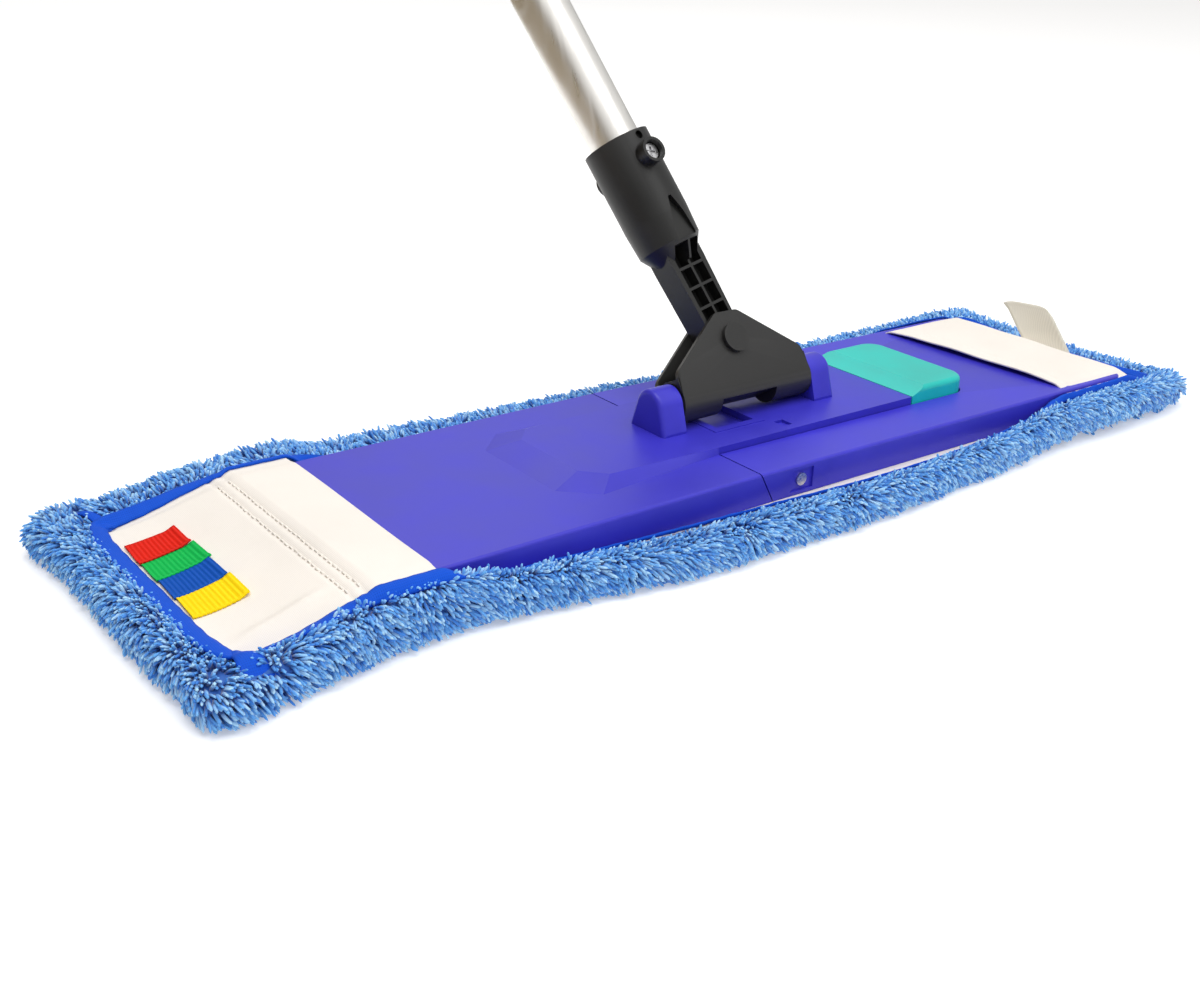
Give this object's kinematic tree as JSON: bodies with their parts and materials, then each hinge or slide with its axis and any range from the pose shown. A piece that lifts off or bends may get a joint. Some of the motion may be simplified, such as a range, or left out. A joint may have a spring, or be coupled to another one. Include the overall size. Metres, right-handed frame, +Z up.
{
  "type": "flat mop",
  "caption": "Folding flat mop with a foot pedal, a two-way yoke joint, a long tube handle and a blue microfibre pocket pad.",
  "frame": {"origin": "on the floor, straight below the yoke's axle at the middle of the frame", "axes": "+X along the frame from the plain plate towards the foot pedal, +Y towards the side the handle leans to at rest, +Z up"},
  "size_m": [0.5586, 0.8943, 1.2461],
  "materials": {
    "frame_blue": "fine satin",
    "pedal_turquoise": "satin",
    "joint_black": "satin glass-filled",
    "pin_steel": "zinc plated",
    "magnet_nickel": "nickel plated",
    "tube_aluminium": "satin anodised",
    "grip_rubber": "matt",
    "pile_blue": "twisted microfibre pile",
    "canvas_white": "plain weave",
    "binding_blue": "woven tape",
    "tab_red": "ribbed tape",
    "tab_green": "ribbed tape",
    "tab_blue": "ribbed tape",
    "tab_yellow": "ribbed tape"
  },
  "bodies": {
    "left_half": {"left_plate": "frame_blue", "yoke_axle": "pin_steel", "lock_strikers": "pin_steel", "pad_left": "pile_blue", "pad_middle": "pile_blue", "canvas_left": "canvas_white", "binding_left": "binding_blue", "pocket_left": "canvas_white", "tab_red": "tab_red", "tab_green": "tab_green", "tab_blue": "tab_blue", "tab_yellow": "tab_yellow"},
    "right_half": {"right_plate": "frame_blue", "hinge_pin_front": "pin_steel", "hinge_pin_rear": "pin_steel", "lock_magnets": "magnet_nickel", "pedal_pin": "pin_steel", "pedal_spring": "pin_steel", "pad_right": "pile_blue", "canvas_right": "canvas_white", "binding_right": "binding_blue", "pocket_right": "canvas_white", "care_label": "canvas_white"},
    "foot_pedal": {"pedal": "pedal_turquoise"},
    "yoke_joint": {"yoke": "joint_black", "cheek_pin": "joint_black", "cheek_pin_cap": "joint_black"},
    "handle": {"handle_socket": "joint_black", "tube_bolt": "pin_steel", "tube_nut": "pin_steel", "handle_tube": "tube_aluminium", "grip": "grip_rubber", "hang_cap": "joint_black"}
  },
  "joints": [
    {"name": "plate_fold", "type": "hinge", "parent": "left_half", "child": "right_half", "pos_m": [-0.0127, 0, 0.017], "axis": [0, 1, 0], "range_deg": [0, 120], "deforming": ["pad_middle"]},
    {"name": "pedal_press", "type": "hinge", "parent": "right_half", "child": "foot_pedal", "pos_m": [0.0865, 0, 0.0195], "axis": [0, 1, 0], "range_deg": [0, 5.5], "stiffness_Nm_per_rad": 0.6, "springref_deg": -5.73, "deforming": ["pedal_spring"]},
    {"name": "yoke_roll", "type": "hinge", "parent": "left_half", "child": "yoke_joint", "pos_m": [0, 0, 0.0362], "axis": [1, 0, 0], "range_deg": [-44, 112]},
    {"name": "handle_pitch", "type": "hinge", "parent": "yoke_joint", "child": "handle", "pos_m": [0, 0.0109, 0.05237], "axis": [0, 0.829, -0.5592], "range_deg": [-47.7, 72.3]}
  ]
}
